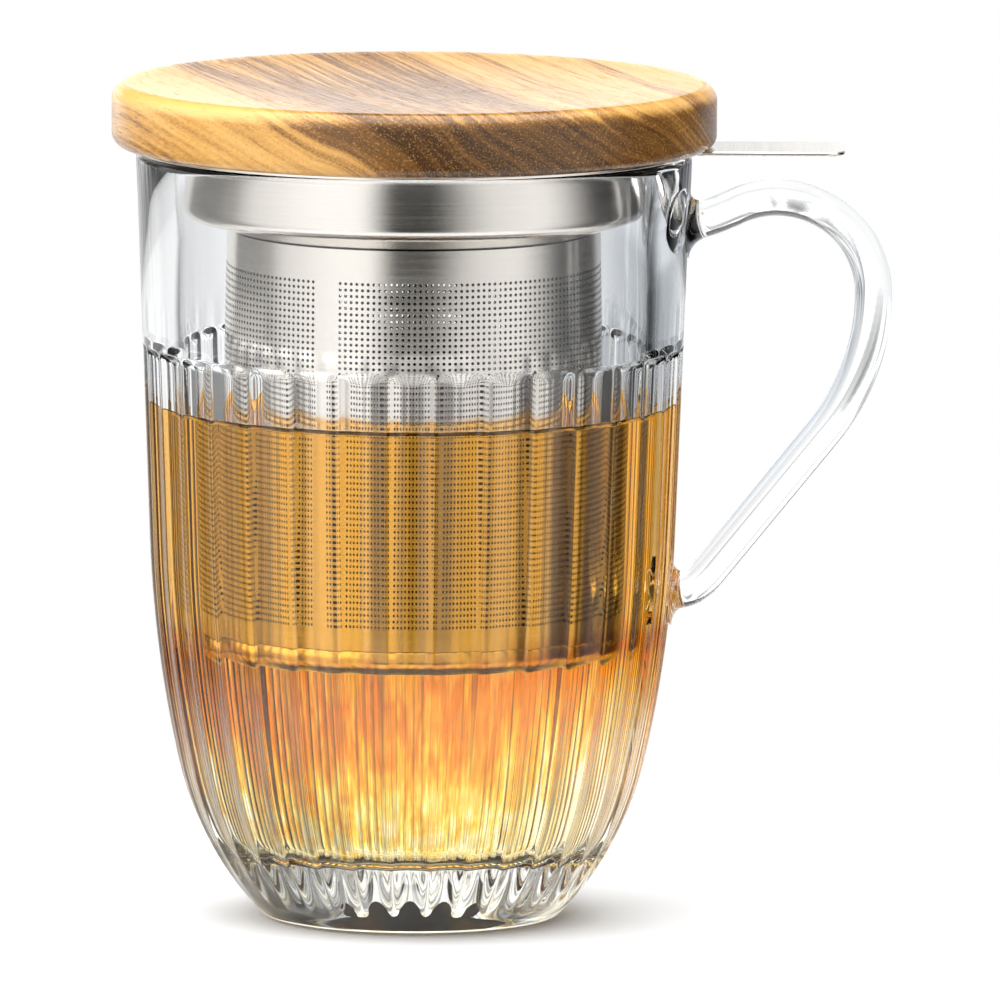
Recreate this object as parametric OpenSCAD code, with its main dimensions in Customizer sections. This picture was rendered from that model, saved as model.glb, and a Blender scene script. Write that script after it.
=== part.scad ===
// Lidded glass tea mug with a steel infuser basket and a turned wooden lid.
// Millimetres, +Z up, origin at the centre of the foot, handle towards +X.

/* [Glass mug] */
// Height from the table to the rim
mug_h = 119.9; // [112:0.1:135]
// Outer radius at the rim
rim_r = 43.2; // [42:0.1:46]
// Lean of the straight side from the vertical, in degrees
side_lean = 2.2; // [1.2:0.1:3]
// Radius of the long curve under the straight side
side_curve_r = 189; // [165:1:205]
// Lean at which the rounded heel begins, in degrees
heel_lean = 13.1; // [11.5:0.1:14.5]
// Radius of the rounded heel
heel_r = 48; // [45:0.5:51]
// Lean at which the heel meets the foot, in degrees
foot_lean = 44.7; // [41:0.1:48]
// Rounding between the heel and the flat underside
foot_round = 2; // [1:0.1:3]
// Glass thickness of the side
wall = 5.8; // [5:0.1:6.2]
// Glass thickness at the rim
rim_wall = 4.2; // [3.6:0.1:4.8]
// Height of the flared mouth, where the wall thins towards the rim
mouth_h = 12; // [10:0.5:16]
// Rounding of both edges of the rim
lip_round = 1.5; // [0.8:0.1:1.7]
// Glass thickness of the base
floor_t = 12; // [8:0.5:15]
// Rounding between the inside of the wall and the floor
floor_round = 6; // [3:0.5:9]

/* [Flutes] */
// Number of upright grooves round the outside
flutes = 34; // [24:1:40]
// Depth of a groove
flute_depth = 1.05; // [0.6:0.05:1.3]
// Radius of a groove's hollow
flute_r = 6.5; // [5.5:0.1:8]
// Height of the square-shouldered top of the grooves
flute_top = 89.7; // [80:0.1:95]
// Length over which a groove closes at its top
flute_nose = 2.2; // [1.5:0.1:3.5]
// Height at which the grooves run out above the foot
flute_foot = 3.5; // [2:0.1:8]

/* [Handle] */
// Farthest reach of the handle's centre line from the mug's axis
handle_reach = 71.5; // [68:0.1:76]
// Distance of that farthest point below the rim
handle_drop = 22.3; // [21:0.1:26]
// Bend radius of the top of the loop
loop_top_r = 15.1; // [13:0.1:16.5]
// Bend radius of the outside of the loop
loop_low_r = 34; // [28:0.5:38]
// Fall of the top arm towards the wall, in degrees
top_arm_fall = 28; // [20:1:34]
// Lean of the lower leg from the vertical, in degrees
leg_lean = 39; // [36:0.5:42]
// Upward bend of the leg's end, which meets the wall squarely
leg_lift = 4; // [2:0.1:5]
// Upward bend of the top arm's end
arm_lift = 1.2; // [0.5:0.1:2]
// Thickness of the glass strap, seen from the side
strap_t = 5.8; // [5:0.1:6.6]
// Width of the glass strap
strap_w = 9.6; // [8:0.1:12]
// Flare of the strap where it is fused to the wall
root_flare = 2.6; // [1.5:0.1:3.2]

/* [Infuser] */
// Thickness of the collar, tab and base cap sheet
sheet = 0.6; // [0.5:0.05:0.8]
// Overhang of the flange past the rim of the mug
flange_overhang = 0.6; // [0.3:0.1:1.2]
// Gap between the collar and the throat of the mug
collar_gap = 0.4; // [0.3:0.05:1]
// Upright height of the collar below the flange
collar_h = 8; // [7.6:0.1:10]
// Bend radius at both ends of the collar wall, on the outside
collar_bend = 2.4; // [1.8:0.1:3]
// Slope of the shoulder between the collar and the tube, in degrees
shoulder_slope = 21; // [15:1:28]
// Outer radius of the perforated tube
tube_r = 29.3; // [27.5:0.1:30.5]
// Thickness of the perforated sheet
mesh_sheet = 0.5; // [0.4:0.05:0.6]
// Length of the perforated tube
tube_h = 61.6; // [50:0.1:70]
// Height of the base cap below the tube
cap_h = 3.7; // [3:0.1:6]
// Rounding of the base cap's edge
cap_round = 2; // [1.2:0.1:2.6]
// Length of the lips that the tube slips over
lip_len = 2; // [1.5:0.1:4]
// Plain band of the tube above its holes
plain_top = 4.6; // [3.5:0.1:10]
// Plain band of the tube below its holes
plain_low = 2.9; // [2.5:0.1:10]
// Number of perforated panels
panels = 3; // [2:1:4]
// Width of the plain strip between two panels
strip_w = 3.6; // [2.5:0.1:6]
// Holes across a panel, each standing for a square of fine ones
hole_columns = 10; // [6:1:12]
// Rows of holes
hole_rows = 10; // [6:1:14]
// Diameter of a hole
hole_d = 2.2; // [1.2:0.1:2.6]
// Reach of the lifting tab from the mug's axis
tab_reach = 66.8; // [58:0.1:72]
// Width of the lifting tab
tab_w = 15; // [10:0.5:20]
// Rounding of the tab's corners
tab_round = 3; // [1:0.1:4.5]

/* [Lid] */
// Radius of the wooden disc
lid_r = 47; // [45.5:0.1:50]
// Thickness of the wooden disc
lid_t = 9.8; // [8.5:0.1:14]
// Rounding of its top edge
lid_top_round = 2.6; // [1:0.1:3.2]
// Rounding of its bottom edge
lid_low_round = 2; // [1:0.1:2.8]
// Width of the raised edge round the dished top
lid_edge_w = 3.4; // [3:0.1:6]
// Depth of the dished top
dish_depth = 1.3; // [0.6:0.1:2]
// Depth of the plug that locates the lid in the collar
plug_h = 6; // [5.6:0.1:7]
// Gap between the plug and the collar
plug_gap = 1.4; // [1:0.1:2]
// Gap between the seal and the collar
seal_gap = 0.15; // [0.1:0.01:0.3]
// Depth of the groove that holds the seal
seal_groove = 1.2; // [0.8:0.1:2]
// Height of the seal
seal_h = 3.4; // [2.6:0.1:3.8]
// Thickness of each of the seal's two fins
seal_fin = 0.8; // [0.6:0.05:1]

/* [Hidden] */
glass_colour = [0.86, 0.92, 0.93];
handle_colour = [0.80, 0.88, 0.90];
steel_colour = [0.72, 0.73, 0.74];
sieve_colour = [0.60, 0.61, 0.63];
wood_colour = [0.72, 0.47, 0.24];
seal_colour = [0.90, 0.90, 0.88];
round_fn = 144;
flute_steps = 4;
strap_sides = 16;

// Points of an arc in the profile plane, by the lean of the surface from the vertical.
function lean_arc(c, r, from, to, n) =
  [for (i = [0:n]) let (a = from + (to - from) * i / n) [c[0] + r * cos(a), c[1] - r * sin(a)]];

// Outline of the glass: foot, heel, long curve and straight side meet tangentially.
foot_z = foot_round * (1 - sin(foot_lean));
heel_cz = foot_z + heel_r * sin(foot_lean);
heel_top_z = heel_cz - heel_r * sin(heel_lean);
curve_cz = heel_top_z + side_curve_r * sin(heel_lean);
side_z = curve_cz - side_curve_r * sin(side_lean);
side_r = rim_r - (mug_h - side_z) * tan(side_lean);
curve_c = [side_r - side_curve_r * cos(side_lean), curve_cz];
heel_c = [curve_c[0] + (side_curve_r - heel_r) * cos(heel_lean), heel_cz];
foot_c = [heel_c[0] + (heel_r - foot_round) * cos(foot_lean), foot_round];
lip_out = [rim_r - lip_round / cos(side_lean), mug_h - lip_round];

// Outer radius of the plain wall at a height.
function wall_at(z) =
  z > side_z ? rim_r - (mug_h - z) * tan(side_lean) :
  z > heel_top_z ? curve_c[0] + sqrt(pow(side_curve_r, 2) - pow(curve_c[1] - z, 2)) :
  heel_c[0] + sqrt(pow(heel_r, 2) - pow(heel_c[1] - z, 2));

// A groove is a round hollow, u being the distance from its middle and s that above its end. Its
// top is square with rounded corners: fourth powers are added up where a round top has squares.
flute_half_w = sqrt(pow(flute_r, 2) - pow(flute_r - flute_depth, 2));
flute_end = flute_top - flute_nose;
flute_fade = 6;
function blunt(u, s) = pow(pow(u, 4) + pow(s * flute_half_w / flute_nose, 4), 0.25);
function cut(u, s) =
  max(0, sqrt(max(0, pow(flute_r, 2) - pow(blunt(u, s), 2))) - flute_r + flute_depth);
function groove(r, z, turn) =
  let (pitch = 2 * PI * r / flutes, s = max(0, z - flute_end), u = pitch * abs(turn))
  (cut(u, s) - cut(pitch / 2, s)) * min(1, max(0, (z - flute_foot) / flute_fade));

// Rings of the outside, from the foot up to the rim, each as radius, height and lean.
foot_steps = 2;
heel_steps = 6;
curve_steps = 3;
scoop_steps = 3;
lip_steps = 3;
function ring_arc(c, r, from, to, n) =
  [for (i = [0:n]) let (a = from + (to - from) * i / n) [c[0] + r * cos(a), c[1] - r * sin(a), a]];
function side_ring(z) = [wall_at(z), z, side_lean];
outer_rings = concat(
  ring_arc(foot_c, foot_round, 90, foot_lean, foot_steps),
  [for (i = [1:heel_steps]) ring_arc(heel_c, heel_r, foot_lean, heel_lean, heel_steps)[i]],
  [for (i = [1:curve_steps]) ring_arc(curve_c, side_curve_r, heel_lean, side_lean, curve_steps)[i]],
  [for (i = [0:scoop_steps]) side_ring(flute_end + (flute_top - flute_end) * i / scoop_steps)],
  ring_arc(lip_out, lip_round, side_lean, -90, lip_steps)
);

// Profile of the inside, concentric with the outside down to the rounded corner of the floor.
throat_z = mug_h - mouth_h;
throat_r = wall_at(throat_z) - wall / cos(side_lean);
mouth_r = rim_r - rim_wall;
corner_reach = heel_r - wall - floor_round;
corner_z = floor_t + floor_round;
corner_lean = asin((heel_c[1] - corner_z) / corner_reach);
corner_c = [heel_c[0] + corner_reach * cos(corner_lean), corner_z];
lip_in = [mouth_r + lip_round, mug_h - lip_round];
inside = concat(
  [[0, floor_t]],
  lean_arc(corner_c, floor_round, 90, corner_lean, 6),
  lean_arc(heel_c, heel_r - wall, corner_lean, heel_lean, 5),
  lean_arc(curve_c, side_curve_r - wall, heel_lean, side_lean, 4),
  [[throat_r, throat_z]],
  lean_arc(lip_in, lip_round, 180, 270, 5),
  [[lip_in[0], mug_h + 1], [0, mug_h + 1]]
);

// Skin between rings of equal length, closed by a flat face at each end.
module skin(rings) {
  n = len(rings[0]);
  last = len(rings) - 1;
  points = [for (ring = rings) each ring];
  sides = [for (k = [0:last - 1], i = [0:n - 1]) let (a = k * n + i, b = k * n + (i + 1) % n)
    each [[a, a + n, b], [b, a + n, b + n]]];
  caps = [[for (i = [0:n - 1]) i], [for (i = [n - 1:-1:0]) last * n + i]];
  polyhedron(points = points, faces = concat(sides, caps));
}

// One ring of the fluted outside: the groove is cut square to the wall.
function fluted_ring(ring) =
  [for (i = [0:flutes * flute_steps - 1])
    let (
      turn = (i % flute_steps) / flute_steps,
      d = groove(ring[0], ring[1], turn > 0.5 ? turn - 1 : turn),
      r = ring[0] - d * cos(ring[2]),
      a = -90 + i * 360 / (flutes * flute_steps)
    )
    [r * cos(a), r * sin(a), ring[1] + d * sin(ring[2])]];

module mug_body() {
  color(glass_colour)
  difference() {
    skin([for (ring = outer_rings) fluted_ring(ring)]);
    rotate_extrude($fn = round_fn) polygon(inside);
  }
}

// Centre line of the handle: lower leg, outside bend, top bend and top arm, as [x, z, heading].
handle_mid_z = mug_h - handle_drop;
low_c = [handle_reach - loop_low_r, handle_mid_z];
top_c = [handle_reach - loop_top_r, handle_mid_z];
leg_start = [low_c[0] + loop_low_r * cos(leg_lean), low_c[1] - loop_low_r * sin(leg_lean)];
arm_start = [
  top_c[0] - loop_top_r * sin(top_arm_fall),
  top_c[1] + loop_top_r * cos(top_arm_fall)
];
// Length of a straight run from p to the wall, which it meets higher by lift; by two corrections.
function run_to(p, dir, lift, t) = (p[0] - wall_at(p[1] + t * dir[1] + lift)) / -dir[0];
function wall_run(p, dir, lift) = run_to(p, dir, lift, run_to(p, dir, lift, run_to(p, dir, lift, 0)));
leg_dir = [-sin(leg_lean), -cos(leg_lean)];
arm_dir = [-cos(top_arm_fall), -sin(top_arm_fall)];
leg_run = wall_run(leg_start, leg_dir, leg_lift);
arm_run = wall_run(arm_start, arm_dir, arm_lift);

// Over this distance the strap bends up by its lift and turns upright against the wall.
root_turn = 9;
root_sink = flute_depth + 0.3;
root_steps = [0, 0.1, 0.25, 0.5, 0.75, 1];
// Flare of a fillet of radius root_flare at distance s from the wall.
function flare(s) =
  s > root_flare ? 0 : root_flare - sqrt(root_flare * root_flare - pow(root_flare - s, 2));

// Ring of the strap: centre, angle of its thickness direction, and half thickness and width.
function strap_ring(c, tilt, half_t, half_w) =
  [for (i = [0:strap_sides - 1]) let (a = i * 360 / strap_sides)
    [
      c[0] + half_t * cos(a) * cos(tilt),
      half_w * sin(a),
      c[1] + half_t * cos(a) * sin(tilt)
    ]];
// Ring at distance s from the wall along a run: its plane eases from square across the bent line
// to the upright face of the wall, and it bends round the mug with that face.
function root_ring(start, dir, run, s, lift, wall_tilt) =
  let (
    k = min(1, s / root_turn),
    heading = atan2(-dir[1] - 2 * lift * (1 - k) / root_turn, -dir[0]),
    square_tilt = heading + wall_tilt,
    tilt = wall_tilt + heading * k,
    c = start + dir * (run - s) + [0, lift * pow(1 - k, 2)],
    half_t = strap_t / 2 / cos(tilt - square_tilt) + flare(s)
  )
  [for (p = strap_ring(c, tilt, half_t, strap_w / 2 + flare(s)))
    let (r = wall_at(p[2]), bend = (r - sqrt(r * r - p[1] * p[1])) * (1 - k))
    p - [bend, 0, 0]];
// Last ring, flat and upright inside the glass of the wall.
function sunk_ring(ring, root_z) =
  let (depth = sqrt(pow(wall_at(root_z), 2) - pow(strap_w / 2 + root_flare, 2)) - root_sink)
  [for (p = ring) [depth, p[1], p[2]]];

leg_rings = [for (k = root_steps)
  root_ring(leg_start, leg_dir, leg_run, k * root_turn, leg_lift, -90)];
arm_rings = [for (k = root_steps)
  root_ring(arm_start, arm_dir, arm_run, k * root_turn, arm_lift, 90)];
leg_low_z = min([for (p = leg_rings[0]) p[2]]);
arm_root_z = arm_start[1] + arm_run * arm_dir[1] + arm_lift;
low_bend = 5;
top_bend = 10;
strap_rings = concat(
  [sunk_ring(leg_rings[0], leg_low_z)],
  leg_rings,
  [for (i = [0:low_bend]) let (a = -leg_lean * (1 - i / low_bend))
    strap_ring(low_c + loop_low_r * [cos(a), sin(a)], a, strap_t / 2, strap_w / 2)],
  [for (i = [1:top_bend]) let (a = (90 + top_arm_fall) * i / top_bend)
    strap_ring(top_c + loop_top_r * [cos(a), sin(a)], a, strap_t / 2, strap_w / 2)],
  [for (i = [len(arm_rings) - 1:-1:0]) if (root_steps[i] * root_turn < arm_run) arm_rings[i]],
  [sunk_ring(arm_rings[0], arm_root_z)]
);

module mug_handle() {
  color(handle_colour) skin(strap_rings);
}

// Collar of the infuser: flange on the rim, upright wall, rounded bend and sloping shoulder.
flange_r = rim_r + flange_overhang;
collar_r = throat_r - collar_gap;
bend_c = [collar_r - collar_bend, mug_h - collar_h];
top_bend_c = [collar_r + collar_bend, mug_h - collar_bend];
shoulder_lean = 90 - shoulder_slope;
shoulder_out = bend_c + collar_bend * [cos(shoulder_lean), -sin(shoulder_lean)];
function shoulder_z(r) = shoulder_out[1] - (shoulder_out[0] - r) * tan(shoulder_slope);
tube_in_r = tube_r - mesh_sheet;
neck_r = tube_in_r - sheet;
tube_top_z = shoulder_z(tube_in_r);
sheet_rise = sheet / cos(shoulder_slope);
collar_section = concat(
  [[flange_r, mug_h]],
  [for (i = [0:5]) top_bend_c + collar_bend * [-sin(18 * i), cos(18 * i)]],
  lean_arc(bend_c, collar_bend, 0, shoulder_lean, 6),
  [
    [tube_in_r, tube_top_z],
    [tube_in_r, tube_top_z - lip_len],
    [neck_r, tube_top_z - lip_len],
    [neck_r, shoulder_z(neck_r) + sheet_rise]
  ],
  lean_arc(bend_c, collar_bend - sheet, shoulder_lean, 0, 6),
  [for (i = [5:-1:0]) top_bend_c + (collar_bend + sheet) * [-sin(18 * i), cos(18 * i)]],
  [[flange_r, mug_h + sheet]]
);

module infuser_collar() {
  color(steel_colour) rotate_extrude($fn = round_fn) polygon(collar_section);
}

// Flat lifting tab in the plane of the flange, its root butted against the flange's edge.
module infuser_tab() {
  color(steel_colour)
  translate([0, 0, mug_h])
  difference() {
    union() {
      translate([rim_r - tab_w / 2, -tab_w / 2, 0])
        cube([tab_reach - tab_round - rim_r + tab_w / 2, tab_w, sheet]);
      translate([rim_r, tab_round - tab_w / 2, 0])
        cube([tab_reach - rim_r, tab_w - 2 * tab_round, sheet]);
      for (side = [-1, 1])
        translate([tab_reach - tab_round, side * (tab_w / 2 - tab_round), 0])
          cylinder(r = tab_round, h = sheet, $fn = 48);
    }
    translate([0, 0, -1]) cylinder(r = flange_r, h = sheet + 2, $fn = round_fn);
  }
}

// Perforated tube: the panels are parted by plain strips, one of them left of the front.
tube_low_z = tube_top_z - tube_h;
panel_turn = 360 / panels;
strip_turn = strip_w / tube_r * 180 / PI;
column_turn = (panel_turn - strip_turn) / hole_columns;
row_step = (tube_h - plain_top - plain_low - hole_d) / (hole_rows - 1);
first_strip = -116;
module infuser_sieve() {
  color(sieve_colour)
  difference() {
    translate([0, 0, tube_low_z]) cylinder(r = tube_r, h = tube_h, $fn = round_fn);
    translate([0, 0, tube_low_z - 1]) cylinder(r = tube_in_r, h = tube_h + 2, $fn = round_fn);
    for (p = [0:panels - 1], c = [0:hole_columns - 1], k = [0:hole_rows - 1])
      rotate([0, 0, first_strip + p * panel_turn + strip_turn / 2 + (c + 0.5) * column_turn])
        translate([tube_in_r - 0.5, 0, tube_low_z + plain_low + hole_d / 2 + k * row_step])
          rotate([0, 90, 0])
            cylinder(d = hole_d, h = mesh_sheet + 1, $fn = 16);
  }
}

// Cap that closes the tube: flush with it outside, with a lip that the tube slips over.
cap_low_z = tube_low_z - cap_h;
cap_c = [tube_r - cap_round, cap_low_z + cap_round];
cap_section = concat(
  [[0, cap_low_z]],
  lean_arc(cap_c, cap_round, 90, 0, 5),
  [
    [tube_r, tube_low_z],
    [tube_in_r, tube_low_z],
    [tube_in_r, tube_low_z + lip_len],
    [neck_r, tube_low_z + lip_len]
  ],
  lean_arc([neck_r - cap_round + sheet, cap_c[1]], cap_round - sheet, 0, 90, 5),
  [[0, cap_low_z + sheet]]
);
module infuser_base() {
  color(steel_colour) rotate_extrude($fn = round_fn) polygon(cap_section);
}

// Turned lid: a dished disc that rests on the flange, and a plug with a groove for the seal.
lid_z = mug_h + sheet;
lid_top = lid_z + lid_t;
dish_r = lid_r - lid_edge_w;
dish_sphere = (dish_r * dish_r + dish_depth * dish_depth) / (2 * dish_depth);
dish_half = asin(dish_r / dish_sphere);
collar_in_r = collar_r - sheet;
plug_r = collar_in_r - plug_gap;
groove_r = plug_r - seal_groove;
plug_low = lid_z - plug_h;
seal_z = lid_z - (plug_h + seal_h) / 2;
disc_section = concat(
  [[0, plug_low], [plug_r, plug_low]],
  [[plug_r, seal_z], [groove_r, seal_z], [groove_r, seal_z + seal_h], [plug_r, seal_z + seal_h]],
  [[plug_r, lid_z]],
  lean_arc([lid_r - lid_low_round, lid_z + lid_low_round], lid_low_round, 90, 0, 6),
  lean_arc([lid_r - lid_top_round, lid_top - lid_top_round], lid_top_round, 0, -90, 7),
  [for (i = [0:12]) let (a = dish_half * (1 - i / 12))
    [dish_sphere * sin(a), lid_top - dish_depth + dish_sphere * (1 - cos(a))]]
);
module lid_disc() {
  color(wood_colour) rotate_extrude($fn = round_fn) polygon(disc_section);
}

// Soft ring in the plug's groove, with two fins that wipe the inside of the collar.
seal_r = collar_in_r - seal_gap;
fin_lean = 0.25;
seal_section = [
  [groove_r, seal_z],
  [plug_r, seal_z],
  [seal_r, seal_z + fin_lean],
  [seal_r, seal_z + fin_lean + seal_fin],
  [plug_r, seal_z + seal_fin],
  [plug_r, seal_z + seal_h - seal_fin],
  [seal_r, seal_z + seal_h - seal_fin + fin_lean],
  [seal_r, seal_z + seal_h + fin_lean],
  [plug_r, seal_z + seal_h],
  [groove_r, seal_z + seal_h]
];
module lid_seal() {
  color(seal_colour) rotate_extrude($fn = round_fn) polygon(seal_section);
}

mug_body();
mug_handle();
infuser_collar();
infuser_tab();
infuser_sieve();
infuser_base();
lid_disc();
lid_seal();
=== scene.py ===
"""A fluted glass tea mug, two thirds full, with its perforated steel infuser and turned wooden lid.

Everything is worked out in millimetres in the part's own frame, +Z up, handle towards +X, and
put into metres when a mesh is made. Profiles are rows of radius and height, seen in section.
"""

import math

import bpy
import numpy as np
from mathutils import Matrix, Vector


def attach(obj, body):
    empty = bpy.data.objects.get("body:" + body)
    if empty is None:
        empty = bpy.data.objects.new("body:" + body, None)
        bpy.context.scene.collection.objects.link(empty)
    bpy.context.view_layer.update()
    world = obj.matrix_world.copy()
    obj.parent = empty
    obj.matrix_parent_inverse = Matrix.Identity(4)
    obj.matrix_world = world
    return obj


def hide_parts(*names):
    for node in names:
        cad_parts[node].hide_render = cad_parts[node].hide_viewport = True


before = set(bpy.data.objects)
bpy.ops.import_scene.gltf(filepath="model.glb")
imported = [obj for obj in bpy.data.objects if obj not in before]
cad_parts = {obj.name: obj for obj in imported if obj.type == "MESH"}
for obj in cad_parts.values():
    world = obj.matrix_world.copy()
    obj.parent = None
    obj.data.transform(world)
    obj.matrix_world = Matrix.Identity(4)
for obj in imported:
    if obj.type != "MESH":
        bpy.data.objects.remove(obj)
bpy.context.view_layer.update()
MM = 0.001
SMOOTH, GLASS_SMOOTH = math.radians(35), math.radians(50)

# ---------------------------------------------------------------- sizes
# What the solids have too has the same value here as in the part's source.
mug_h, rim_r = 119.9, 43.2
side_lean, side_curve_r = math.radians(2.2), 189.0
heel_lean, heel_r = math.radians(13.1), 48.0
foot_lean, foot_round = math.radians(44.7), 2.0
wall, rim_wall, mouth_h, lip_round = 5.8, 4.2, 12.0, 1.5
floor_t, floor_round = 12.0, 6.0
flutes, flute_depth, flute_r = 34, 1.05, 6.5
flute_top, flute_nose, flute_foot, flute_fade = 89.7, 2.2, 3.5, 6.0
crest_round, land_round = 0.35, 0.06
around_flute, lip_steps = 16, 7

handle_reach, handle_drop = 71.5, 22.3
loop_top_r, loop_low_r = 15.1, 34.0
top_arm_fall, leg_lean = math.radians(28), math.radians(39)
strap_t, strap_w = 5.8, 9.6
leg_lift, arm_lift, root_flare, root_turn, strap_sink = 4.0, 1.2, 2.6, 9.0, 1.35

sheet, flange_overhang, collar_gap, collar_h, collar_bend = 0.6, 0.6, 0.4, 8.0, 2.4
shoulder_slope = math.radians(21)
tube_r, mesh_sheet, tube_h = 29.3, 0.5, 61.6
cap_h, cap_round, cap_seam, cap_hub, lip_len = 3.7, 2.0, 0.12, 8.0, 2.0
panels, strip_w, first_strip = 3, 3.6, math.radians(-116)
fine_columns, fine_rows, fine_d, fine_low, fine_step = 66, 58, 0.50, 49.4, 0.925
tab_reach, tab_w, tab_round, tab_edge, tab_gap = 66.8, 15.0, 3.0, 0.14, 0.02

lid_r, lid_t, lid_top_round, lid_low_round = 47.0, 9.8, 2.6, 2.0
lid_edge_w, dish_depth = 3.4, 1.3
plug_h, plug_gap, plug_ease, plug_hub = 6.0, 1.4, 0.5, 6.0
seal_gap, seal_groove, seal_h, seal_fin, fin_lean = 0.15, 1.2, 3.4, 0.8, 0.25

tea_z, tea_overlap, meniscus_h, meniscus_w = 79.4, 0.12, 0.9, 1.8
floor_half, floor_gap = 500, 0.3

# Outline of the glass: foot, heel, long curve and straight side meet tangentially.
foot_z = foot_round * (1 - math.sin(foot_lean))
heel_cz = foot_z + heel_r * math.sin(foot_lean)
heel_top_z = heel_cz - heel_r * math.sin(heel_lean)
curve_cz = heel_top_z + side_curve_r * math.sin(heel_lean)
side_z = curve_cz - side_curve_r * math.sin(side_lean)
side_r = rim_r - (mug_h - side_z) * math.tan(side_lean)
curve_c = (side_r - side_curve_r * math.cos(side_lean), curve_cz)
heel_c = (curve_c[0] + (side_curve_r - heel_r) * math.cos(heel_lean), heel_cz)
foot_c = (heel_c[0] + (heel_r - foot_round) * math.cos(foot_lean), foot_round)
lip_out = (rim_r - lip_round / math.cos(side_lean), mug_h - lip_round)
flute_end = flute_top - flute_nose


def wall_at(z):
    """Outer radius of the plain wall at a height: straight side, long curve, then heel."""
    z = np.asarray(z, float)
    straight = rim_r - (mug_h - z) * math.tan(side_lean)
    curve = curve_c[0] + np.sqrt(side_curve_r**2 - (curve_c[1] - z) ** 2)
    heel = heel_c[0] + np.sqrt(np.maximum(heel_r**2 - (heel_c[1] - z) ** 2, 0))
    return np.where(z > side_z, straight, np.where(z > heel_top_z, curve, heel))


throat_z = mug_h - mouth_h
throat_r = float(wall_at(throat_z)) - wall / math.cos(side_lean)
mouth_r = rim_r - rim_wall
corner_reach = heel_r - wall - floor_round
corner_z = floor_t + floor_round
corner_lean = math.asin((heel_c[1] - corner_z) / corner_reach)
corner_c = (heel_c[0] + corner_reach * math.cos(corner_lean), corner_z)
lip_in = (mouth_r + lip_round, mug_h - lip_round)

collar_r = throat_r - collar_gap
bend_c = (collar_r - collar_bend, mug_h - collar_h)
top_bend_c = (collar_r + collar_bend, mug_h - collar_bend)
shoulder_lean = math.pi / 2 - shoulder_slope
shoulder_out = (
    bend_c[0] + collar_bend * math.cos(shoulder_lean),
    bend_c[1] - collar_bend * math.sin(shoulder_lean),
)
tube_in_r = tube_r - mesh_sheet
neck_r = tube_in_r - sheet
tube_top_z = shoulder_out[1] - (shoulder_out[0] - tube_in_r) * math.tan(shoulder_slope)
tube_low_z = tube_top_z - tube_h
cap_low_z = tube_low_z - cap_h
flange_r = rim_r + flange_overhang

lid_z = mug_h + sheet
lid_top = lid_z + lid_t
dish_r = lid_r - lid_edge_w
dish_sphere = (dish_r**2 + dish_depth**2) / (2 * dish_depth)
collar_in_r = collar_r - sheet
plug_r = collar_in_r - plug_gap
groove_r = plug_r - seal_groove
plug_low = lid_z - plug_h
seal_z = lid_z - (plug_h + seal_h) / 2
seal_r = collar_in_r - seal_gap


# ---------------------------------------------------------------- meshes
def new_object(name, points, corners, sizes):
    """A mesh object: points in mm, the faces' corners end to end, each face's corner count."""
    mesh = bpy.data.meshes.new(name)
    mesh.vertices.add(len(points))
    mesh.vertices.foreach_set("co", (np.asarray(points, float) * MM).astype(np.float32).ravel())
    mesh.loops.add(len(corners))
    mesh.loops.foreach_set("vertex_index", np.asarray(corners, np.int32))
    sizes = np.asarray(sizes, np.int32)
    mesh.polygons.add(len(sizes))
    mesh.polygons.foreach_set("loop_start", (np.cumsum(sizes) - sizes).astype(np.int32))
    mesh.update(calc_edges=True)
    mesh.validate()
    mesh.shade_smooth()
    mesh.set_sharp_from_angle(angle=SMOOTH)
    obj = bpy.data.objects.new(name, mesh)
    bpy.context.scene.collection.objects.link(obj)
    return obj


def skin(name, grid, ends):
    """Quads between neighbours of a grid of points, whose columns close round.

    The rows close on each other where ends is "loop"; where it is "poles", the first and the
    last row are each closed by a fan to the middle of that row.
    """
    rows, columns = grid.shape[:2]
    row = np.arange(rows if ends == "loop" else rows - 1)[:, None]
    column = np.arange(columns)[None, :]
    up, along = (row + 1) % rows, (column + 1) % columns
    here, above = row * columns, up * columns
    quads = np.stack([here + column, here + along, above + along, above + column], axis=-1)
    quads = quads.reshape(-1, 4)
    points = grid.reshape(-1, 3)
    corners, sizes = [quads.ravel()], [np.full(len(quads), 4)]
    if ends == "poles":
        first = np.arange(columns)
        after = (first + 1) % columns
        low_pole, high_pole = len(points), len(points) + 1
        points = np.vstack([points, grid[0].mean(0), grid[-1].mean(0)])
        last = (rows - 1) * columns
        corners.append(np.stack([after, first, np.full(columns, low_pole)], -1).ravel())
        corners.append(
            np.stack([last + first, last + after, np.full(columns, high_pole)], -1).ravel()
        )
        sizes.append(np.full(2 * columns, 3))
    return new_object(name, points, np.concatenate(corners), np.concatenate(sizes))


def arc(centre, radius, lean_from, lean_to, steps):
    """Points of an arc in section, where a lean of 0 faces straight out and a right angle down."""
    lean = np.linspace(lean_from, lean_to, steps + 1)
    return np.column_stack(
        [centre[0] + radius * np.cos(lean), centre[1] - radius * np.sin(lean), lean]
    )


def line(start, end, steps):
    """Evenly spaced points from start to end, without start."""
    share = np.linspace(0, 1, steps + 1)[1:, None]
    return np.asarray(start, float) * (1 - share) + np.asarray(end, float) * share


def turned(name, profile, ends, around):
    """A profile of radius and height turned about the axis: x = r cos a, y = r sin a."""
    angle = np.arange(around) * 2 * np.pi / around
    profile = np.asarray(profile, float)[:, :2]
    radius, height = profile[:, 0][:, None], profile[:, 1][:, None]
    grid = np.stack(
        [radius * np.cos(angle), radius * np.sin(angle), height + 0 * angle], axis=-1
    )
    return skin(name, grid, ends)


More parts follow.
